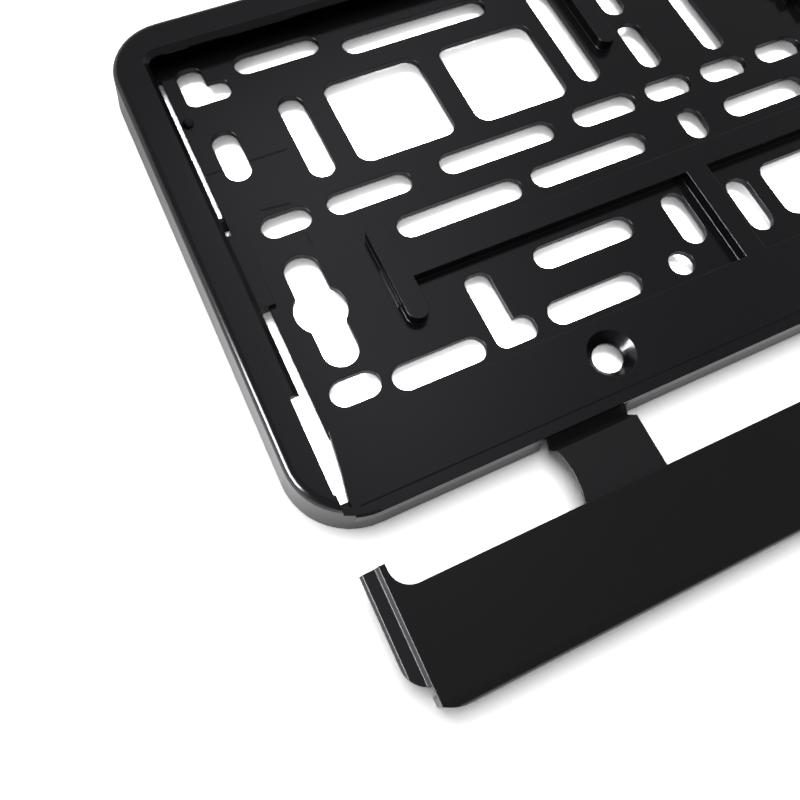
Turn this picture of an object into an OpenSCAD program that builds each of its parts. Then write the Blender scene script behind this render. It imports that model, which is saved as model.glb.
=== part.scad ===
// Number plate holder: a base frame with side and top lips, and a retaining bar on two hinge straps.
// The base lies on its back, face up. The bar is unclipped and lies open in front of the bottom edge.
// Places across the base are given from its bottom left corner, and the right half mirrors the left.

/* [Base outline] */
// Width of the base, foot to foot
base_w = 532; // [520:1:600]
// Height of the base, from its bottom edge to its top edge
base_d = 134.8; // [134:0.2:160]
// Height of the rim above the surface behind the base
rim_h = 10.7; // [10.5:0.1:13]
// Radius of the outer corners at the foot
corner_r = 15.5; // [15:0.5:20]
// Thickness of the outer wall
wall_t = 1.7; // [1.2:0.1:2]
// How far the outer wall leans in over its height
draft = 1.2; // [0.4:0.1:1.6]
// Radius of the rim's outer top edge
shoulder_r = 2; // [1:0.1:2.4]

/* [Lips] */
// Thickness of the lips
lip_t = 1.7; // [1.2:0.1:2]
// Reach of the side lips from the outer foot
side_lip = 8.9; // [8.7:0.1:9.4]
// Reach of the side lips beside the bar's fins
low_lip = 8; // [7:0.1:8.4]
// Reach of the top lip from the outer foot
top_lip = 9.4; // [8:0.1:12]
// Distance from the bottom edge at which the side lips step out
lip_step = 28.8; // [26:0.1:32]
// Width of the slope along the lips' inner edges
slope_out = 1.2; // [0.6:0.1:1.4]
// Drop of that slope
slope_drop = 1.3; // [0.6:0.1:1.4]
// Corner radius inside the lips
lip_corner_r = 4; // [1.5:0.1:6]

/* [Floor] */
// Height of the floor's face above the surface behind the base
floor_top = 5.2; // [4.6:0.1:5.6]
// Thickness of the floor, the plateau and the raised ribs
floor_t = 1.6; // [1.2:0.1:2]
// Height of the ribs, the pad and the plateau above the floor
raise_h = 2.8; // [2.4:0.1:3.2]
// Distance from the outer foot to the floor's edge beside the lower slit
slit_low = 12.4; // [11:0.1:13]
// Distance from the outer foot to the floor's edge beside the upper slit
slit_high = 11.6; // [11:0.1:13]
// Distance from the top edge to the upper slit's end
slit_end = 14; // [12:0.5:20]
// Bottom end of the bridging tab
tab_y = 52; // [48:0.5:54]
// Length of the bridging tab
tab_l = 20; // [14:0.5:22]
// Distance from the outer foot to the bridging tab's inner edge
tab_x = 14; // [13.5:0.1:14.8]
// Height of the bridging tab above the floor
tab_h = 1; // [0.4:0.1:1.6]

/* [Plateau] */
// Distance from the bottom edge to the plateau's far edge
plateau_d = 19.9; // [18:0.1:21]
// Setback of the plateau's front edge from the foot
plateau_in = 0.5; // [0.3:0.1:0.8]
// Depth of the low strip along the plateau's front edge
strip_d = 3.15; // [2:0.05:4]
// Drop of the low strip
strip_drop = 0.25; // [0.1:0.05:0.5]
// Height of the low corner piece below the plateau's face
corner_drop = 1.2; // [0.6:0.1:2]
// Spacing of the stiffening ribs under the plateau
stiffener_pitch = 38; // [24:1:60]
// Thickness of the stiffening ribs
stiffener_t = 1.2; // [0.8:0.1:1.6]

/* [Raised ribs] */
// Centre height of the long stem across the middle
stem_y = 48.7; // [48:0.1:49.5]
// Width of the long stem
stem_w = 6.4; // [5.6:0.1:6.8]
// Distance from the left edge to the T head's middle
head_x = 41.5; // [40:0.1:44]
// Width of the T head
head_w = 5.1; // [4.6:0.1:6]
// Length of the T head
head_l = 26.6; // [20:0.1:28]
// How far the T head's foot stands out to the left
foot_out = 0.6; // [0.3:0.1:1]
// Height of the T head's foot above the floor
foot_h = 1; // [0.5:0.1:1.5]
// Distance from the left edge to the branch's middle
branch_x = 120.1; // [119:0.1:121]
// Width of the branch
branch_w = 5.6; // [4.8:0.1:6.2]
// Distance from the left edge to the upper rib's middle
upper_x = 121.4; // [120.5:0.1:122.5]
// Width of the upper rib
upper_w = 4.8; // [4.4:0.1:5.6]
// Lower end of the upper rib
upper_y = 88.2; // [84:0.1:96]
// Distance from the left edge to the middle pad
pad_x = 175.6; // [174:0.2:200]
// Lower edge of the middle pad
pad_y = 78.3; // [77:0.1:90]

/* [Slots and windows] */
// Width of the fixing slots
slot_w = 6.4; // [5:0.1:6.6]
// Side of the square windows
window_w = 26; // [20:0.1:27]
// Corner radius of the windows
window_r = 3.5; // [1:0.1:5]
// Width of the keyhole slot
key_w = 8.1; // [6:0.1:9]
// Length of the keyhole slot
key_l = 29.5; // [20:0.1:30]
// Diameter of the keyhole slot's round middle
key_d = 12.1; // [10:0.1:13]
// Diameter of the screw holes in the plateau
screw_d = 7.1; // [5:0.1:8]
// Diameter of the screw holes' countersinks
sink_d = 11.2; // [9:0.1:12]
// Depth of the screw holes' countersinks
sink_depth = 2.7; // [1.5:0.1:3]
// Diameter of the collars round the screw holes, behind the plateau
collar_d = 13; // [12.6:0.1:15]

/* [Straps] */
// Distance from the left edge to the strap
strap_x = 53.5; // [50:0.1:56]
// Width of the strap
strap_w = 19.6; // [12:0.1:19.8]
// How far the strap's outer edge is drawn in
strap_waist = 0.9; // [0.3:0.1:1.2]
// Thickness of the strap
strap_t = 0.9; // [0.7:0.1:1.1]
// Height of the strap's face below the plateau's face
strap_drop = 0.5; // [0.4:0.1:0.8]
// Distance between the strap's two hinge lines
strap_l = 18.1; // [17:0.1:20]
// Length of the folded film next to the base
film_l = 2.9; // [2.6:0.1:3.6]
// Thickness of the folded film
film_t = 0.6; // [0.5:0.05:0.8]
// Clearance between the strap and the parts that it joins
hinge_gap = 0.3; // [0.2:0.05:0.4]

/* [Retaining bar] */
// Distance from the base's outer foot to the bar's end
bar_in = 10.3; // [10:0.1:11]
// Depth of the bar, from edge to edge
bar_d = 23.2; // [22:0.1:26]
// Thickness of the bar's face
bar_t = 1.3; // [1:0.1:1.6]
// How far the bar's near edge reaches past its hinge line
bar_reach = 3.4; // [3:0.1:5]
// Thickness of the bar's front wall
bar_wall = 1.5; // [1.2:0.1:2]
// Radius of the bar's front edge
bar_edge_r = 2.2; // [1.6:0.1:3]
// Radius of the bar's front corners
bar_corner_r = 10.5; // [8:0.5:14]
// Distance from the bar's end to the middle of that arc
bar_corner_in = 5.9; // [5:0.1:8]
// Reach of the spring fins past the bar's ends
fin_out = 3.9; // [3:0.1:4.2]
// Depth of the step from the bar's face down to the fins
fin_step = 1; // [0.6:0.1:1.4]
// How far the fins' outer edges lie below the bar's face
fin_drop = 3.6; // [3:0.1:4.4]
// Length of the fins
fin_l = 23.8; // [20:0.1:24.4]
// How far the fins stand past the bar's near edge
fin_past = 5.9; // [4:0.1:6.2]
// Corner radius at the fins' far ends
fin_r = 5.5; // [1.5:0.1:5.8]
// Radius of the fillet between the fin and the bar's near edge
fin_fillet = 4.5; // [2:0.1:5]

/* [Hidden] */
$fn = 24;
charcoal = [0.09, 0.09, 0.1];
cut = 1; // overrun of the cutting shapes
lap = 0.5; // overlap between joined shapes
raised_top = floor_top + raise_h;
floor_low = floor_top - floor_t;
mid_x = base_w / 2;
back_rib_y = [66.5, 77.9]; // middles of the long ribs on the back
front_notch = plateau_in + floor_t + lap; // depth of the notches that the straps leave by
strap_top = raised_top - strap_drop;
hinge_out = 0.3; // from the bottom foot to the straps' first hinge line
bar_hinge_out = hinge_out + strap_l;
bar_low = strap_top + hinge_gap;
bar_top = bar_low + bar_t;
bar_near = bar_hinge_out - bar_reach;
fin_root = 1.3; // width of the fin's root on the bar's face
foot_y = [41, 50.8]; // ends of the T head's foot
bead_d = 2.8; // bead beside the upper slit
bead_sink = 0.1;
bead_at = [13.2, 105.6];
collar_low = raised_top - sink_depth - 0.7;
end_mid = 11.4; // where the plateau's end starts to slant away from the fin's slot
end_low = 4.7;
end_x = low_lip + 2.4;
corner_piece_d = 5.2;
film_in = 0.9; // from the bottom foot to the film's end in the base's notch
film_top = raised_top - floor_t - lap;
film_valley = film_top - 1.9;
end_gap = 0.7; // from the straps' second hinge line to their ends
end_t = 0.25;
waist_l = 11.5;
waist_mid = 8.6; // from the bottom foot to the middle of the straps' waist
// Horizontal fixing slots: distance from the left edge, distance from the bottom edge, length
flat_slots = [
    [77.7, 114.2, 40.9], [40.8, 118.1, 22.5], [24.2, 71.1, 12.2], [45.3, 71.2, 21.6],
    [79.7, 71.4, 31.5], [110.5, 71.4, 18.2], [129.8, 71.4, 13.4], [147.2, 71.3, 13.6],
    [165.1, 71.3, 13.7], [63.3, 59.3, 32.7], [99.0, 59.4, 32.4], [152.4, 59.4, 24.9],
    [85.7, 39.4, 26.5], [80.6, 25.6, 24.4], [40.9, 25.3, 22.2], [21.9, 27.2, 11.5],
    [190.5, 71.3, 24], [225, 71.3, 32], [190.5, 59.4, 32], [232.5, 59.4, 32]
];
// Upright fixing slots, in the same order
upright_slots = [
    [19.4, 93.2, 15.2], [37.9, 92, 25.5], [112.8, 98.6, 36], [130.8, 105.4, 15],
    [130.4, 86.6, 16], [149.8, 95, 35], [129.6, 59.1, 9.7], [129, 33, 15.7], [111.5, 35.9, 15]
];
// L-shaped holes: left edge, lower edge, width and height of the leg, width and height of the foot
l_holes = [[15.1, 109.8, slot_w, 12.1, 11.4, slot_w], [54.5, 22.4, 6.3, 19.6, 10.2, 6.2]];
l_hole_r = 2.4;
// Corners of the middle pad's stepped edge, from its left and lower edges
pad_steps = [[0, 12.1], [1.7, 9.3], [1.2, 5.7], [3.8, 5.7], [3.3, 0.4], [7.5, 0]];
// Centres of the square windows above the stem
windows = [[60, 92.2], [92.1, 92.2]];
// Left edges of the low windows between the branches
low_windows = [136.6, 182.8];
low_window_y = [25.7, 41.6];
// Centres of the keyhole slot, the round hole and the plateau's screw hole
key_at = [22.6, 47.4];
hole_at = [104.2, 25.5];
screw_at = [75.3, 11.5];

module both_sides() {
    children();
    mirror([1, 0, 0]) children();
}

module from_corner() {
    translate([-base_w / 2, -base_d / 2, 0]) children();
}

module slot_2d(length, width) {
    square([length - width, width], center = true);
    for (side = [-1, 1]) translate([side * (length - width) / 2, 0]) circle(d = width);
}

module rounded_2d(w, d, r) {
    square([w - 2 * r, d], center = true);
    square([w, d - 2 * r], center = true);
    for (x = [-1, 1], y = [-1, 1]) translate([x * (w / 2 - r), y * (d / 2 - r)]) circle(r = r);
}

// Outline of the base, set in from its foot
module outline_2d(inset) {
    rounded_2d(base_w - 2 * inset, base_d - 2 * inset, corner_r - inset);
}

// L-shaped hole: an upright leg and a foot to the right
module l_hole_2d(leg_w, leg_h, foot_w, foot_h) {
    translate([leg_w / 2, leg_h / 2]) rounded_2d(leg_w, leg_h, l_hole_r);
    translate([foot_w / 2, foot_h / 2]) rounded_2d(foot_w, foot_h, l_hole_r);
}

// Cross-section of the outer wall, its rounded shoulder and the start of the lip, outer foot at 0
module rim_section() {
    shoulder_z = rim_h - shoulder_r;
    shoulder_x = draft * shoulder_z / rim_h + shoulder_r;
    lip_z = rim_h - lip_t;
    difference() {
        polygon([
            [0, 0], [draft, rim_h], [shoulder_x + 2 * lap, rim_h], [shoulder_x + 2 * lap, lip_z],
            [wall_t + draft * lip_z / rim_h, lip_z], [wall_t, 0]
        ]);
        difference() {
            translate([-cut, shoulder_z]) square([shoulder_x + cut, shoulder_r + cut]);
            translate([shoulder_x, shoulder_z]) circle(r = shoulder_r);
        }
    }
}

module rim_corner(turn) {
    rotate(turn) rotate_extrude(angle = 90) translate([corner_r, 0]) mirror([1, 0]) rim_section();
}

// Outer wall with its shoulder: both sides, the top and the four corners
module outer_wall() {
    both_sides() from_corner() {
        translate([0, base_d - corner_r, 0]) rotate([90, 0, 0])
            linear_extrude(base_d - 2 * corner_r) rim_section();
        translate([corner_r, base_d - corner_r, 0]) rim_corner(90);
        translate([corner_r, corner_r, 0]) rim_corner(180);
    }
    translate([-base_w / 2 + corner_r, base_d / 2, 0]) mirror([0, 1, 0]) rotate([90, 0, 90])
        linear_extrude(base_w - 2 * corner_r) rim_section();
}

// Flat face of the lips, between the shoulder and the opening
module lip_2d() {
    opening_d = base_d - lip_step - top_lip;
    difference() {
        outline_2d(draft + shoulder_r);
        translate([0, (lip_step - top_lip) / 2]) rounded_2d(base_w - 2 * side_lip, opening_d, lip_corner_r);
        translate([side_lip - base_w / 2, -base_d / 2 + lip_step - cut / 10])
            square([base_w - 2 * side_lip, base_d / 2 - lip_step]);
        translate([low_lip - base_w / 2, -base_d / 2]) square([base_w - 2 * low_lip, lip_step]);
    }
}

// Cross-section of the slope inside a lip, the lip's edge at 0
module slope_2d() {
    polygon([[-lap, -lip_t], [-lap, -lap], [0, 0], [slope_out, -slope_drop], [slope_out, -lip_t]]);
}

module lips() {
    arc_x = side_lip + lip_corner_r;
    arc_y = base_d - top_lip - lip_corner_r;
    translate([0, 0, rim_h - lip_t]) linear_extrude(lip_t) lip_2d();
    both_sides() from_corner() {
        translate([side_lip, arc_y, rim_h]) rotate([90, 0, 0]) linear_extrude(arc_y - lip_step) slope_2d();
        translate([arc_x, arc_y, rim_h]) rotate(90) rotate_extrude(angle = 90)
            translate([lip_corner_r, 0]) mirror([1, 0]) slope_2d();
    }
    translate([arc_x - mid_x, base_d / 2 - top_lip, rim_h]) mirror([0, 1, 0]) rotate([90, 0, 90])
        linear_extrude(base_w - 2 * arc_x) slope_2d();
}

module rim() {
    difference() {
        union() {
            outer_wall();
            lips();
        }
        both_sides() from_corner()
            translate([low_lip + 0.4, -cut, raised_top])
                cube([corner_r, plateau_d / 2 + cut, rim_h]);
    }
}

// Everything that is cut through the floor on the left half
module floor_cuts_2d() {
    for (s = flat_slots) translate([s[0], s[1]]) slot_2d(s[2], slot_w);
    for (s = upright_slots) translate([s[0], s[1]]) rotate(90) slot_2d(s[2], slot_w);
    for (w = windows) translate(w) rounded_2d(window_w, window_w, window_r);
    for (x = low_windows) translate([x + window_w / 2, (low_window_y[0] + low_window_y[1]) / 2])
        rounded_2d(window_w, low_window_y[1] - low_window_y[0], window_r);
    translate(key_at) rotate(90) slot_2d(key_l, key_w);
    translate(key_at) circle(d = key_d);
    translate(hole_at) circle(d = slot_w);
    for (h = l_holes) translate([h[0], h[1]]) l_hole_2d(h[2], h[3], h[4], h[5]);
}

module slits_2d() {
    translate([0, tab_y + tab_l]) square([slit_high, base_d - slit_end - tab_y - tab_l]);
    square([slit_low, tab_y]);
}

// Outline of the floor's left half, its edge inside the outer wall
module floor_2d() {
    intersection() {
        translate([mid_x, base_d / 2]) outline_2d(wall_t);
        translate([0, plateau_d - lap]) square([mid_x, base_d]);
    }
}

module floor_plate() {
    both_sides() from_corner() difference() {
        translate([0, 0, floor_low]) linear_extrude(floor_t) difference() {
            floor_2d();
            slits_2d();
        }
        translate([0, 0, floor_low - cut]) linear_extrude(floor_t + 2 * cut) floor_cuts_2d();
    }
}

// Raised shape with a hollow underneath, its wall as thick as the floor
module raised_slot(at, length, width, turn) {
    translate([at[0], at[1], floor_low]) rotate(turn) difference() {
        linear_extrude(raised_top - floor_low) slot_2d(length, width);
        translate([0, 0, -cut]) linear_extrude(raise_h + cut) slot_2d(length - 2 * floor_t, width - 2 * floor_t);
    }
}

// T heads, branches and upper ribs, and the stem that joins them across the middle
module raised_ribs() {
    branch_top = stem_y;
    branch_low = plateau_d - floor_t / 2;
    upper_l = base_d - draft - upper_y;
    both_sides() from_corner() {
        raised_slot([head_x, stem_y], head_l, head_w, 90);
        translate([head_x - head_w / 2 - foot_out, foot_y[0], floor_top - lap])
            cube([foot_out + lap, foot_y[1] - foot_y[0], foot_h + lap]);
        raised_slot([upper_x, upper_y + upper_l / 2], upper_l, upper_w, 90);
        translate([branch_x - branch_w / 2, branch_low, floor_low]) difference() {
            cube([branch_w, branch_top - branch_low, raised_top - floor_low]);
            translate([floor_t, floor_t, -cut])
                cube([branch_w - 2 * floor_t, branch_top - branch_low - 2 * floor_t, raise_h + cut]);
        }
    }
    translate([head_x - mid_x, stem_y - stem_w / 2 - base_d / 2, floor_low]) difference() {
        cube([2 * (mid_x - head_x), stem_w, raised_top - floor_low]);
        translate([head_w, floor_t, -cut])
            cube([2 * (mid_x - head_x - head_w), stem_w - 2 * floor_t, raise_h + cut]);
    }
}

// Outline of the raised pad in the middle, its lower corners cut in steps
module pad_2d(inset) {
    x = mid_x - pad_x - inset;
    y = pad_y - base_d / 2 + inset;
    far_y = base_d / 2 - wall_t - inset;
    polygon(concat(
        [[x, far_y], [-x, far_y]],
        [for (s = pad_steps) [s[0] - x, y + s[1]]],
        [for (i = [len(pad_steps) - 1:-1:0]) [x - pad_steps[i][0], y + pad_steps[i][1]]]
    ));
}

module middle_pad() {
    translate([0, 0, floor_low]) difference() {
        linear_extrude(raised_top - floor_low) pad_2d(0);
        translate([0, 0, -cut]) linear_extrude(raise_h + cut) pad_2d(floor_t);
    }
}

// Outline of the plateau's left half, its end slanting away from the slot for the bar's fin
module plateau_2d() {
    intersection() {
        translate([mid_x, base_d / 2]) outline_2d(plateau_in);
        polygon([
            [slit_low + 0.2, plateau_d], [slit_low + 0.2, plateau_d - lap], [slit_low - 0.8, end_mid],
            [end_x, end_low], [end_x, 0], [mid_x, 0], [mid_x, plateau_d]
        ]);
    }
}

// Outline of the low piece between the plateau's end and the outer wall
module corner_piece_2d() {
    intersection() {
        translate([mid_x, base_d / 2]) outline_2d(plateau_in + lap);
        translate([wall_t + lap, 0]) square([end_x + lap - wall_t, corner_piece_d]);
    }
}

module plateau() {
    front_wall = plateau_in + floor_t;
    both_sides() from_corner() difference() {
        union() {
            translate([0, 0, floor_low]) linear_extrude(raised_top - floor_low) plateau_2d();
            translate([corner_r, 0, 0]) rotate([90, 0, 90]) linear_extrude(mid_x - corner_r) polygon([
                [0, 0], [plateau_in, floor_low + lap], [front_wall, floor_low + lap], [front_wall, 0]
            ]);
            translate([0, 0, floor_low]) linear_extrude(raised_top - corner_drop - floor_low) corner_piece_2d();
        }
        translate([end_x + 2 * floor_t, front_wall + lap, floor_low - cut])
            cube([mid_x, plateau_d - floor_t - front_wall - lap, raise_h + cut]);
        translate([end_x - lap, -cut, raised_top - strip_drop]) cube([mid_x, strip_d + cut, cut]);
    }
}

// Ribs on the back of the plateau, down to the surface behind the base, and the screw holes' collars
module plateau_back() {
    count = floor((mid_x - screw_at[0]) / stiffener_pitch);
    both_sides() from_corner() {
        translate([screw_at[0], screw_at[1], collar_low])
            cylinder(d = collar_d, h = raised_top - lap - collar_low);
        for (i = [1:count]) translate([screw_at[0] + i * stiffener_pitch - stiffener_t / 2, plateau_in + lap, 0])
            cube([stiffener_t, plateau_d - plateau_in - 2 * lap, raised_top - lap]);
    }
}

// Ribs on the back of the floor: two long ones between the rows of slots, and one up the middle
module floor_back() {
    for (y = back_rib_y)
        translate([wall_t + draft - base_w / 2, y - stiffener_t / 2 - base_d / 2, 0])
            cube([base_w - 2 * wall_t - 2 * draft, stiffener_t, floor_low + lap]);
    translate([-stiffener_t / 2, plateau_d - lap - base_d / 2, 0])
        cube([stiffener_t, base_d - plateau_d - wall_t, floor_low + lap]);
}

module bridging_tabs() {
    both_sides() from_corner() {
        translate([wall_t + lap, tab_y, floor_low]) cube([tab_x - wall_t - lap, tab_l, floor_t + tab_h]);
        translate([bead_at[0], bead_at[1], floor_top - bead_sink]) rotate([0, 90, 0]) sphere(d = bead_d);
    }
}

// Countersunk hole through the plateau and its collar
module screw_hole() {
    rotate_extrude() polygon([
        [0, -cut], [screw_d / 2, -cut], [screw_d / 2, raised_top - sink_depth],
        [sink_d / 2, raised_top], [sink_d / 2, raised_top + cut], [0, raised_top + cut]
    ]);
}

module base_frame() {
    color(charcoal) difference() {
        union() {
            rim();
            floor_plate();
            plateau();
            plateau_back();
            raised_ribs();
            middle_pad();
            floor_back();
            bridging_tabs();
        }
        both_sides() from_corner() {
            translate([screw_at[0], screw_at[1], 0]) screw_hole();
            translate([strap_x - 2 * hinge_gap, -cut, -cut])
                cube([strap_w + 4 * hinge_gap, front_notch + cut, raised_top - floor_t + cut]);
        }
    }
}

// Side view of a strap: the film folded down into a V, the plate and its thinned end
module strap_section() {
    under = strap_top - strap_t;
    low = film_valley - film_t;
    end = bar_hinge_out - end_gap;
    polygon([
        [-film_in, film_top], [hinge_out - 2 * film_t, film_top], [film_l / 2, film_valley], [film_l, strap_top],
        [end, strap_top], [end, strap_top - end_t], [end - 2 * strap_t, under], [film_l + lap, under],
        [film_l / 2 + lap, low], [hinge_out + strap_t, low], [hinge_out - 1.8 * film_t, film_top - film_t],
        [-film_in, film_top - film_t]
    ]);
}

module left_strap() {
    waist_r = waist_l * waist_l / 8 / strap_waist + strap_waist / 2;
    color(charcoal) translate([strap_x - mid_x, -base_d / 2, 0]) difference() {
        rotate([90, 0, 90]) mirror([1, 0, 0]) linear_extrude(strap_w) strap_section();
        translate([strap_waist - waist_r, -waist_mid, 0]) cylinder(r = waist_r, h = rim_h, $fn = 96);
    }
}

module right_strap() {
    mirror([1, 0, 0]) left_strap();
}

// Side view of the bar's solid shape, its front edge rounded, before it is hollowed
module bar_section() {
    far = bar_near + bar_d;
    difference() {
        translate([bar_near, 0]) square([bar_d, bar_top]);
        difference() {
            translate([far - bar_edge_r, bar_top - bar_edge_r]) square(bar_edge_r + cut);
            translate([far - bar_edge_r, bar_top - bar_edge_r]) circle(r = bar_edge_r);
        }
    }
}

// Plan of the bar, its front corners drawn back by arcs, set in from its front edge
module bar_2d(inset) {
    length = base_w - 2 * bar_in;
    arc_x = length / 2 - bar_corner_in;
    arc_y = -bar_near - bar_d + bar_corner_r;
    translate([-arc_x, arc_y - bar_corner_r + inset]) square([2 * arc_x, bar_corner_r]);
    translate([-length / 2 - cut, arc_y]) square([length + 2 * cut, bar_d - bar_corner_r + cut]);
    for (side = [-1, 1]) translate([side * arc_x, arc_y]) circle(r = bar_corner_r - inset, $fn = 96);
}

// Plan of a fin, its far corner rounded, measured from the corner of the bar's face
module fin_2d() {
    low = fin_past - fin_l;
    translate([-fin_out, low + fin_r]) square([fin_out + fin_fillet, fin_l - fin_r]);
    translate([fin_r - fin_out, low]) square([fin_out + fin_fillet - fin_r, fin_r + lap]);
    translate([fin_r - fin_out, low + fin_r]) circle(r = fin_r);
}

// Cross-section of a fin: the step down from the bar's face, the sloping tongue and its outer edge
module fin_section() {
    polygon([
        [lap, 0], [0, 0], [-0.8, -fin_step], [-0.85 * fin_out, -0.45 * fin_drop], [-fin_out, -0.65 * fin_drop],
        [-fin_out, -fin_drop], [bar_t / 2 - fin_out, -fin_drop], [-0.5 * fin_out, -fin_step - bar_t],
        [0, -fin_step - bar_t], [bar_t, -bar_t], [bar_t, 0]
    ]);
}

// Piece of the bar's face beside a fin, with the fillet into the bar's near edge
module fin_root_2d() {
    difference() {
        translate([0, -lap]) square([fin_root + fin_fillet, fin_past + lap]);
        translate([fin_root + fin_fillet, fin_fillet]) circle(r = fin_fillet);
        translate([fin_root, fin_fillet]) square([fin_fillet + cut, fin_past]);
    }
}

module fin() {
    translate([0, 0, bar_top]) intersection() {
        translate([0, fin_past, 0]) rotate([90, 0, 0]) linear_extrude(fin_l) fin_section();
        translate([0, 0, -bar_top]) linear_extrude(bar_top + cut) fin_2d();
    }
    translate([0, 0, bar_low]) linear_extrude(bar_t) fin_root_2d();
}

module retaining_bar() {
    length = base_w - 2 * bar_in;
    color(charcoal) translate([0, -base_d / 2, 0]) {
        difference() {
            intersection() {
                translate([-length / 2, 0, 0]) rotate([90, 0, 90]) mirror([1, 0, 0])
                    linear_extrude(length) bar_section();
                translate([0, 0, -cut]) linear_extrude(bar_top + 2 * cut) bar_2d(0);
            }
            translate([0, 0, -cut]) linear_extrude(bar_low + cut) bar_2d(bar_wall);
        }
        both_sides() translate([bar_in - mid_x, -bar_near, 0]) fin();
    }
}

base_frame();
left_strap();
right_strap();
retaining_bar();
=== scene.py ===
import bpy
from mathutils import Matrix, Vector


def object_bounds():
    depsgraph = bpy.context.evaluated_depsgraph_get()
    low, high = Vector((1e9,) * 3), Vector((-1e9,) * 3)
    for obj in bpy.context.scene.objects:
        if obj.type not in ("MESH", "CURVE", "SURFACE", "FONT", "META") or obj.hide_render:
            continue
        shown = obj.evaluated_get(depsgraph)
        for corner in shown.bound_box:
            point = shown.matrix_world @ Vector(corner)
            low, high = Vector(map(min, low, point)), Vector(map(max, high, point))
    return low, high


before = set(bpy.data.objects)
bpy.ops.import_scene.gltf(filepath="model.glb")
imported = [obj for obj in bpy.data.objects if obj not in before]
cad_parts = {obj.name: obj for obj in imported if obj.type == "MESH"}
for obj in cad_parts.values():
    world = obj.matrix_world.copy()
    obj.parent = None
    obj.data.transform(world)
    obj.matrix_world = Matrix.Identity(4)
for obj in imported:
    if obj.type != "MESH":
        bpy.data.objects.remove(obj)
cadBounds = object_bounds()
print("stage: frame loaded,", len(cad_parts), "pieces")


def newGroup(name, inputs, outputs):
    group = bpy.data.node_groups.new(name, "ShaderNodeTree")
    for label, kind, value in inputs:
        socket = group.interface.new_socket(name=label, in_out="INPUT", socket_type=kind)
        socket.default_value = value
    for label, kind in outputs:
        group.interface.new_socket(name=label, in_out="OUTPUT", socket_type=kind)
    groupIn = group.nodes.new("NodeGroupInput")
    groupOut = group.nodes.new("NodeGroupOutput")
    return group, groupIn, groupOut


def mathNode(tree, operation, first, second=None, clamp=False):
    node = tree.nodes.new("ShaderNodeMath")
    node.operation = operation
    node.use_clamp = clamp
    for slot, value in enumerate((first, second)):
        if value is None:
            continue
        if isinstance(value, (int, float)):
            node.inputs[slot].default_value = value
        else:
            tree.links.new(value, node.inputs[slot])
    return node.outputs[0]


def vectorNode(tree, operation, first, second=None):
    node = tree.nodes.new("ShaderNodeVectorMath")
    node.operation = operation
    tree.links.new(first, node.inputs[0])
    if operation == "SCALE":
        tree.links.new(second, node.inputs["Scale"])
    elif isinstance(second, tuple):
        node.inputs[1].default_value = second
    elif second is not None:
        tree.links.new(second, node.inputs[1])
    return node.outputs["Value" if operation in ("DOT_PRODUCT", "LENGTH") else "Vector"]


def noiseNode(tree, coordinates, scale, detail, roughness):
    noise = tree.nodes.new("ShaderNodeTexNoise")
    noise.inputs["Scale"].default_value = scale
    noise.inputs["Detail"].default_value = detail
    noise.inputs["Roughness"].default_value = roughness
    tree.links.new(coordinates, noise.inputs["Vector"])
    return noise.outputs["Fac"]


def rangeNode(tree, value, source, target):
    node = tree.nodes.new("ShaderNodeMapRange")
    node.interpolation_type = "SMOOTHSTEP"
    node.inputs["From Min"].default_value, node.inputs["From Max"].default_value = source
    node.inputs["To Min"].default_value, node.inputs["To Max"].default_value = target
    tree.links.new(value, node.inputs["Value"])
    return node.outputs["Result"]


def roundedNode(tree):
    rounded = tree.nodes.new("ShaderNodeBevel")
    rounded.samples = moulding["edgeSamples"]
    return rounded


def bumpNode(tree, height, distance, normal):
    bump = tree.nodes.new("ShaderNodeBump")
    bump.inputs["Strength"].default_value = 1.0
    bump.inputs["Distance"].default_value = distance
    tree.links.new(height, bump.inputs["Height"])
    tree.links.new(normal, bump.inputs["Normal"])
    return bump


# What all three mouldings share: noise as scale, detail and roughness
moulding = {
    "fadeNoise": (14.0, 3.0, 0.55), "cloudNoise": (45.0, 4.0, 0.6), "waveNoise": (28.0, 1.0, 0.4),
    "grainDetail": (2.0, 0.5), "wearAndSheenNoise": (90.0, 4.0, 0.6),
    "wearAndSheenStart": 0.42, "wearAndSheenContrast": 4.0, "edgeContrast": 4.0, "edgeSamples": 6,
}


# Mask of rubbed patches along the edges, found where the rounded normal leaves the face's own; the
# lighter colour laid there is partly rubbed wear and partly a painted highlight for the sheen on rounded
# edges
def makeEdgeWearAndSheen():
    group, groupIn, groupOut = newGroup(
        "edgeWearAndSheen",
        [("Radius", "NodeSocketFloat", 0.0004)],
        [("Mask", "NodeSocketFloat")],
    )
    coordinates = group.nodes.new("ShaderNodeTexCoord").outputs["Object"]
    rounded = roundedNode(group)
    group.links.new(groupIn.outputs["Radius"], rounded.inputs["Radius"])
    geometry = group.nodes.new("ShaderNodeNewGeometry")
    facing = vectorNode(group, "DOT_PRODUCT", rounded.outputs["Normal"], geometry.outputs["Normal"])
    edge = mathNode(group, "SUBTRACT", 1.0, facing)
    edge = mathNode(group, "MULTIPLY", edge, moulding["edgeContrast"], clamp=True)
    patches = noiseNode(group, coordinates, *moulding["wearAndSheenNoise"])
    patches = mathNode(group, "SUBTRACT", patches, moulding["wearAndSheenStart"])
    patches = mathNode(group, "MULTIPLY", patches, moulding["wearAndSheenContrast"], clamp=True)
    mask = mathNode(group, "MULTIPLY", edge, patches, clamp=True)
    group.links.new(mask, groupOut.inputs["Mask"])
    return group


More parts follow.
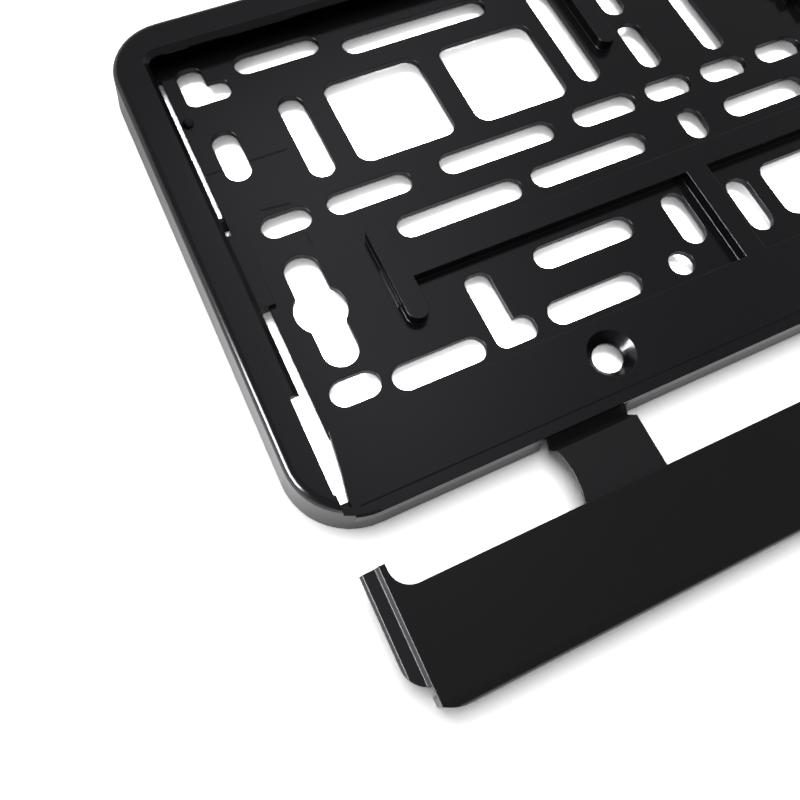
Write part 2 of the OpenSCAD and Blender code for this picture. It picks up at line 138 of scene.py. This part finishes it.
# Mask of a fine line on the surface, such as a knit line or a scratch
def makeFineLine():
    group, groupIn, groupOut = newGroup(
        "fineLine",
        [
            ("Start", "NodeSocketVector", (0, 0, 0)), ("Along", "NodeSocketVector", (1, 0, 0)),
            ("Length", "NodeSocketFloat", 0.01), ("Width", "NodeSocketFloat", 0.0003),
        ],
        [("Mask", "NodeSocketFloat")],
    )
    coordinates = group.nodes.new("ShaderNodeTexCoord").outputs["Object"]
    flat = vectorNode(group, "MULTIPLY", coordinates, (1, 1, 0))
    offset = vectorNode(group, "SUBTRACT", flat, groupIn.outputs["Start"])
    reach = vectorNode(group, "DOT_PRODUCT", offset, groupIn.outputs["Along"])
    reach = mathNode(group, "MAXIMUM", reach, 0.0)
    reach = mathNode(group, "MINIMUM", reach, groupIn.outputs["Length"])
    nearest = vectorNode(group, "SCALE", groupIn.outputs["Along"], reach)
    distance = vectorNode(group, "LENGTH", vectorNode(group, "SUBTRACT", offset, nearest))
    distance = mathNode(group, "DIVIDE", distance, groupIn.outputs["Width"])
    mask = rangeNode(group, distance, (0.2, 1.0), (1.0, 0.0))  # deep in the middle, gone at the width
    group.links.new(mask, groupOut.inputs["Mask"])
    return group


def plasticColour(tree, coordinates, settings):
    fade = tree.nodes.new("ShaderNodeMix")
    fade.data_type = "RGBA"
    fade.inputs["A"].default_value = (*settings["colour"], 1)
    fade.inputs["B"].default_value = (*settings["faded"], 1)
    tree.links.new(noiseNode(tree, coordinates, *moulding["fadeNoise"]), fade.inputs["Factor"])
    wearAndSheenGroup = tree.nodes.new("ShaderNodeGroup")
    wearAndSheenGroup.node_tree = edgeWearAndSheen
    wearAndSheenGroup.inputs["Radius"].default_value = settings["edgeRadius"]
    wearAndSheenMask = mathNode(tree, "MULTIPLY", wearAndSheenGroup.outputs["Mask"], settings["wearAndSheenAmount"])
    # The lighter edge colour is partly rubbed wear and partly a painted highlight along the rounded edges
    wornAndSheened = tree.nodes.new("ShaderNodeMix")
    wornAndSheened.data_type = "RGBA"
    wornAndSheened.inputs["B"].default_value = (*settings["wearAndSheenColour"], 1)
    tree.links.new(wearAndSheenMask, wornAndSheened.inputs["Factor"])
    tree.links.new(fade.outputs["Result"], wornAndSheened.inputs["A"])
    return wornAndSheened.outputs["Result"]


def plasticRoughness(tree, coordinates, settings):
    cloudy = noiseNode(tree, coordinates, *moulding["cloudNoise"])
    spread = mathNode(tree, "SUBTRACT", cloudy, 0.5)
    spread = mathNode(tree, "MULTIPLY", spread, 2 * settings["roughnessSpread"])
    return mathNode(tree, "ADD", spread, settings["roughness"])


# Rounded edges, then the slow wave of the moulding, then its fine grain
def plasticNormal(tree, coordinates, settings):
    rounded = roundedNode(tree)
    rounded.inputs["Radius"].default_value = settings["edgeRadius"]
    wave = noiseNode(tree, coordinates, *moulding["waveNoise"])
    waviness = bumpNode(tree, wave, settings["waviness"], rounded.outputs["Normal"])
    grain = noiseNode(tree, coordinates, 1 / settings["grainSize"], *moulding["grainDetail"])
    skin = bumpNode(tree, grain, settings["grainHeight"], waviness.outputs["Normal"])
    return skin.outputs["Normal"]


# Sinks the knit line and the scratches into the surface
def markedNormal(tree, normal, settings):
    lines = 0.0
    for start, end, width in settings["marks"]:
        run = Vector(end) - Vector(start)
        line = tree.nodes.new("ShaderNodeGroup")
        line.node_tree = fineLine
        line.inputs["Start"].default_value = (*start, 0)
        line.inputs["Along"].default_value = (*run.normalized(), 0)
        line.inputs["Length"].default_value = run.length
        line.inputs["Width"].default_value = width
        lines = mathNode(tree, "MAXIMUM", lines, line.outputs["Mask"])
    groove = bumpNode(tree, lines, settings["markDepth"], normal)
    groove.invert = True
    return groove.outputs["Normal"]


def makePlastic(name, settings):
    material = bpy.data.materials.new(name)
    material.use_nodes = True
    tree = material.node_tree
    shader = tree.nodes["Principled BSDF"]
    shader.inputs["Specular IOR Level"].default_value = settings["specular"]
    shader.inputs["Specular Tint"].default_value = (*settings["tint"], 1)
    coordinates = tree.nodes.new("ShaderNodeTexCoord").outputs["Object"]
    tree.links.new(plasticColour(tree, coordinates, settings), shader.inputs["Base Color"])
    tree.links.new(plasticRoughness(tree, coordinates, settings), shader.inputs["Roughness"])
    normal = plasticNormal(tree, coordinates, settings)
    if "marks" in settings:
        normal = markedNormal(tree, normal, settings)
    tree.links.new(normal, shader.inputs["Normal"])
    return material


def dress(nodeName, material):
    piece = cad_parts[nodeName]
    piece.data.materials.clear()
    piece.data.materials.append(material)


edgeWearAndSheen = makeEdgeWearAndSheen()
fineLine = makeFineLine()

# Colours are linear, lengths are metres; a mark has its start, end and width
# In each plastic the lighter edge colour is partly wear and partly a painted highlight on the rounded
# edges
basePlastic = {
    "colour": (0.0040, 0.0041, 0.0047), "faded": (0.0058, 0.0059, 0.0066),
    "roughness": 0.17, "roughnessSpread": 0.05, "specular": 0.53, "tint": (0.95, 0.92, 1.0),
    "grainSize": 0.00035, "grainHeight": 0.0000022, "waviness": 0.00005,
    "edgeRadius": 0.0003, "wearAndSheenColour": (0.060, 0.061, 0.066), "wearAndSheenAmount": 0.35,
    "markDepth": 0.00012, "marks": [
        ((-0.2538, 0.0227), (-0.2341, 0.0227), 0.0003),
        ((-0.2457, 0.0088), (-0.2389, 0.0081), 0.0003),
        ((-0.2388, 0.0), (-0.2386, -0.0054), 0.0002),
    ],
}
dress("base_frame", makePlastic("baseFramePlastic", basePlastic))

strapPlastic = {
    "colour": (0.0085, 0.0086, 0.0095), "faded": (0.0110, 0.0111, 0.0122),
    "roughness": 0.34, "roughnessSpread": 0.07, "specular": 0.45, "tint": (0.96, 0.95, 1.0),
    "grainSize": 0.0004, "grainHeight": 0.000008, "waviness": 0.00004,
    "edgeRadius": 0.0003, "wearAndSheenColour": (0.040, 0.041, 0.044), "wearAndSheenAmount": 0.4,
}
strapMaterial = makePlastic("hingeStrapPlastic", strapPlastic)
dress("left_strap", strapMaterial)
dress("right_strap", strapMaterial)

barPlastic = {
    "colour": (0.0032, 0.0033, 0.0038), "faded": (0.0046, 0.0047, 0.0053),
    "roughness": 0.29, "roughnessSpread": 0.05, "specular": 0.5, "tint": (0.96, 0.95, 1.0),
    "grainSize": 0.00035, "grainHeight": 0.000003, "waviness": 0.00005,
    "edgeRadius": 0.0003, "wearAndSheenColour": (0.050, 0.051, 0.056), "wearAndSheenAmount": 0.35,
}
dress("retaining_bar", makePlastic("retainingBarPlastic", barPlastic))
print("stage: plastics in place")


floorSettings = {
    "size": 6.0, "drop": 0.00002, "colour": 0.8, "roughness": 0.9,
    "seen": 1.95, "seenFar": 4.0, "fadeSpan": (0.6, 1.6),
    # seenUnder is painted light on the floor under the base, against the base's shadow
    "seenUnder": 11.0, "underHalf": (0.262, 0.0635), "underSoft": 0.003,
    # reflected paints the floor's reflection in the walls, brighter in front and darker behind
    "reflected": (1.7, 0.6), "reflectedSpan": (-0.07, 0.07),
}


# The floor's colour as the camera sees it, before its shadows
def floorSeen(tree, coordinates, parts):
    settings = floorSettings
    # The lamps fade with distance, so the floor far off is lifted to stay plain white
    distance = vectorNode(tree, "LENGTH", coordinates)
    level = rangeNode(tree, distance, settings["fadeSpan"], (settings["seen"], settings["seenFar"]))
    # Painted light: the floor under the base, seen only through slots and windows, is lifted to about 11
    # times where the base's own shadow falls, so it shows as white there as beside it
    under = settings["seenUnder"] - settings["seen"]
    for axis, limit in zip("XY", settings["underHalf"]):
        offset = mathNode(tree, "ABSOLUTE", parts.outputs[axis])
        inside = rangeNode(tree, offset, (limit - settings["underSoft"], limit), (1, 0))
        under = mathNode(tree, "MULTIPLY", under, inside)
    return mathNode(tree, "ADD", level, under)


def makeFloor():
    settings = floorSettings
    half = settings["size"] / 2
    corners = [(-half, -half, 0), (half, -half, 0), (half, half, 0), (-half, half, 0)]
    mesh = bpy.data.meshes.new("studioFloor")
    mesh.from_pydata(corners, [], [(0, 1, 2, 3)])
    floor = bpy.data.objects.new("studioFloor", mesh)
    floor.location.z = cadBounds[0].z - settings["drop"]
    bpy.context.scene.collection.objects.link(floor)
    material = bpy.data.materials.new("studioFloor")
    material.use_nodes = True
    tree = material.node_tree
    shader = tree.nodes["Principled BSDF"]
    shader.inputs["Roughness"].default_value = settings["roughness"]
    shader.inputs["Specular IOR Level"].default_value = 0.0
    coordinates = tree.nodes.new("ShaderNodeTexCoord").outputs["Object"]
    parts = tree.nodes.new("ShaderNodeSeparateXYZ")
    tree.links.new(coordinates, parts.inputs[0])
    rays = tree.nodes.new("ShaderNodeLightPath")
    direct = mathNode(tree, "MAXIMUM", rays.outputs["Is Camera Ray"], rays.outputs["Is Transmission Ray"])
    seen = mathNode(tree, "SUBTRACT", floorSeen(tree, coordinates, parts), settings["colour"])
    seen = mathNode(tree, "MULTIPLY", direct, seen)
    # Painted reflection: the floor as mirrored in the part's walls has colour 1.7 in front falling to 0.6
    # behind, instead of its lit 0.8
    reflected = rangeNode(tree, parts.outputs["Y"], settings["reflectedSpan"], settings["reflected"])
    reflected = mathNode(tree, "SUBTRACT", reflected, settings["colour"])
    reflected = mathNode(tree, "MULTIPLY", rays.outputs["Is Glossy Ray"], reflected)
    brightness = mathNode(tree, "ADD", seen, reflected)
    brightness = mathNode(tree, "ADD", brightness, settings["colour"])
    tree.links.new(brightness, shader.inputs["Base Color"])
    mesh.materials.append(material)


# Spans are parts of the direction to the sky: X is right, Y is away behind the part, Z is up
sky = {
    "overhead": 0.22, "heightSpan": (0.0, 0.5),
    "acrossSpan": (-0.6, 0.3), "leftSide": 1.1, "rightSide": 0.5,
    "nearSpan": (-0.9, -0.2), "nearSide": 0.06,
    "farSpan": (0.5, 0.95), "farSide": 0.8,
    "panelLeft": (-0.05, 0.17), "panelRight": (0.17, 0.60),
    "panelNear": (0.0, 0.4), "panelFar": (0.62, 0.70), "panelStrength": 0.44,
}


def makeWorld():
    world = bpy.data.worlds.new("studioWorld")
    world.use_nodes = True
    tree = world.node_tree
    background = tree.nodes["Background"]
    parts = tree.nodes.new("ShaderNodeSeparateXYZ")
    tree.links.new(tree.nodes.new("ShaderNodeTexCoord").outputs["Generated"], parts.inputs[0])
    across = rangeNode(tree, parts.outputs["X"], sky["acrossSpan"], (sky["leftSide"], sky["rightSide"]))
    near = rangeNode(tree, parts.outputs["Y"], sky["nearSpan"], (sky["nearSide"], 1.0))
    far = rangeNode(tree, parts.outputs["Y"], sky["farSpan"], (0.0, sky["farSide"]))
    low = mathNode(tree, "MAXIMUM", mathNode(tree, "MULTIPLY", across, near), far)
    height = rangeNode(tree, parts.outputs["Z"], sky["heightSpan"], (0.0, 1.0))
    rise = mathNode(tree, "SUBTRACT", sky["overhead"], low)
    shade = mathNode(tree, "ADD", low, mathNode(tree, "MULTIPLY", rise, height))
    # The soft panel overhead, which the flat faces mirror
    panel = rangeNode(tree, parts.outputs["X"], sky["panelLeft"], (0.0, sky["panelStrength"]))
    for axis, edge, levels in (
        ("X", "panelRight", (1, 0)),
        ("Y", "panelNear", (0, 1)),
        ("Y", "panelFar", (1, 0)),
    ):
        side = rangeNode(tree, parts.outputs[axis], sky[edge], levels)
        panel = mathNode(tree, "MULTIPLY", panel, side)
    shade = mathNode(tree, "ADD", shade, panel)
    rays = tree.nodes.new("ShaderNodeLightPath")
    strength = mathNode(tree, "MAXIMUM", shade, rays.outputs["Is Camera Ray"])
    background.inputs["Color"].default_value = (1, 1, 1, 1)
    tree.links.new(strength, background.inputs["Strength"])
    bpy.context.scene.world = world


lampsAim = (-0.15, 0, 0)
windowLamp = {"place": (-1.2, 0.13, 0.45), "size": (0.6, 0.4), "power": 30.0}
ceilingLamp = {"place": (-0.22, 0.38, 1.1), "size": (1.0, 1.0), "power": 10.0}


def makeLamp(name, settings):
    light = bpy.data.lights.new(name, "AREA")
    light.shape = "RECTANGLE"
    light.size, light.size_y = settings["size"]
    light.energy = settings["power"]
    lamp = bpy.data.objects.new(name, light)
    lamp.location = settings["place"]
    aim = Vector(lampsAim) - Vector(settings["place"])
    lamp.rotation_euler = aim.to_track_quat("-Z", "Y").to_euler()
    bpy.context.scene.collection.objects.link(lamp)
    return lamp


# Worked out from the photo's straight edges and square windows
cameraSettings = {
    "place": (-0.27133, -0.09625, 0.15673), "lens": 34.93, "sensor": 36.0, "clipStart": 0.01,
    "right": (0.90191829, -0.42683639, 0.06598555),
    "up": (0.37599949, 0.85113076, 0.36633429),
    "back": (-0.21252714, -0.30559306, 0.92814067),
}


def makeCamera():
    settings = cameraSettings
    data = bpy.data.cameras.new("photoCamera")
    data.lens = settings["lens"]
    data.sensor_width = settings["sensor"]
    data.clip_start = settings["clipStart"]
    camera = bpy.data.objects.new("photoCamera", data)
    axes = Matrix((settings["right"], settings["up"], settings["back"])).transposed()
    camera.matrix_world = Matrix.Translation(settings["place"]) @ axes.to_4x4()
    bpy.context.scene.collection.objects.link(camera)
    bpy.context.scene.camera = camera


makeFloor()
makeWorld()
window = makeLamp("window", windowLamp)
window.visible_diffuse = False  # draws the bright lines on the rounded edges only
ceiling = makeLamp("ceiling", ceilingLamp)
ceiling.visible_glossy = False  # lights the part from above, and the sky gives its reflections
makeCamera()
bpy.context.scene.view_settings.view_transform = "Standard"
print("stage: studio and camera set")
